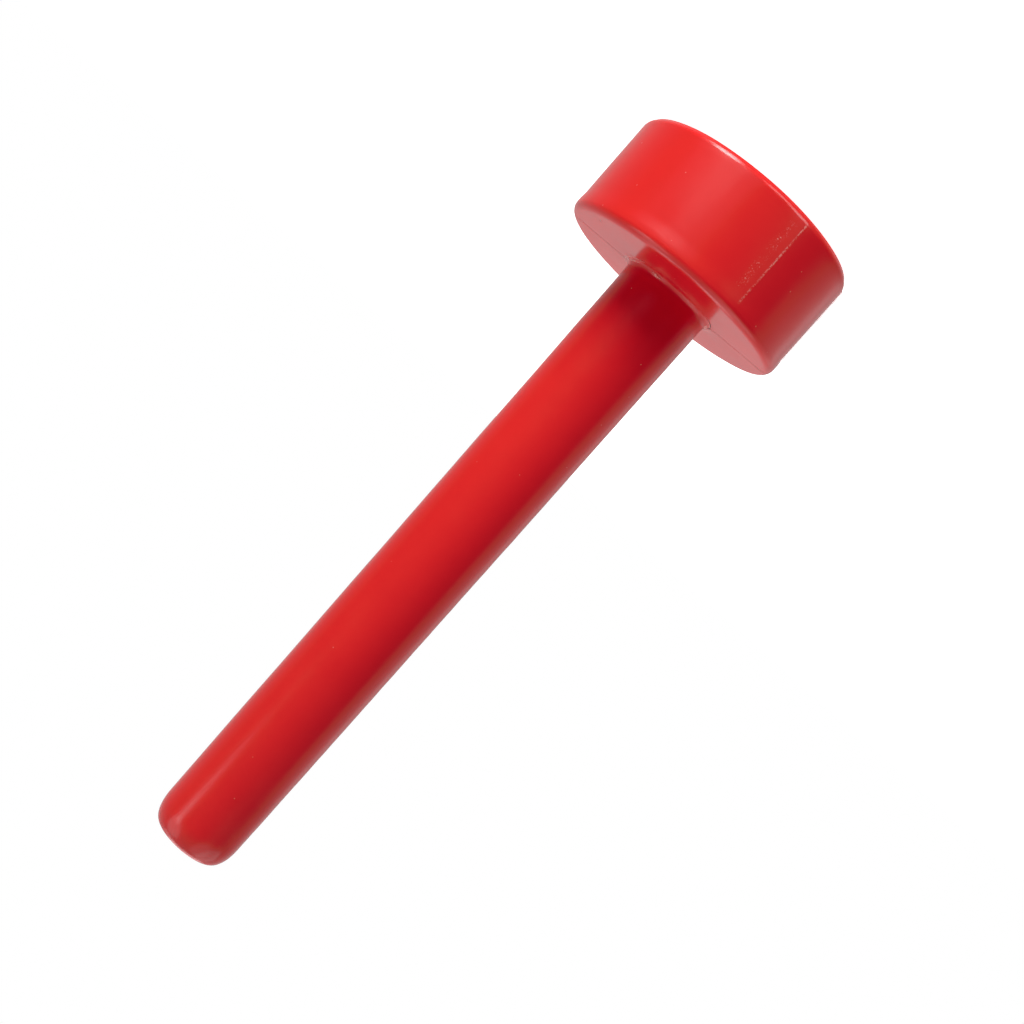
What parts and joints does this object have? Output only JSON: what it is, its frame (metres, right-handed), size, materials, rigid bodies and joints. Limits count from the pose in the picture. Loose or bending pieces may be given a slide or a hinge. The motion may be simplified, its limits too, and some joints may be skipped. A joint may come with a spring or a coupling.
{
  "type": "post driver",
  "caption": "Hand post driver: a thick-walled steel tube with an open mouth for a rod post, a heavy disc striking head on its far end, and one thick skin of red moulded vinyl.",
  "frame": {"origin": "centre of the strike face, which is the flat outer face of the covered head", "axes": "+Z runs along the tube, from the strike face to the open mouth; X and Y are free, because the part is round"},
  "size_m": [0.08, 0.08, 0.2652],
  "materials": {
    "head_steel": "turned, oiled",
    "tube_steel": "drawn pipe, dull mill scale",
    "weld_metal": "as welded",
    "red_vinyl": "gloss, smooth"
  },
  "bodies": {
    "root": {"striking_head": "head_steel", "drive_tube": "tube_steel", "root_weld": "weld_metal", "vinyl_cover": "red_vinyl"}
  },
  "joints": []
}
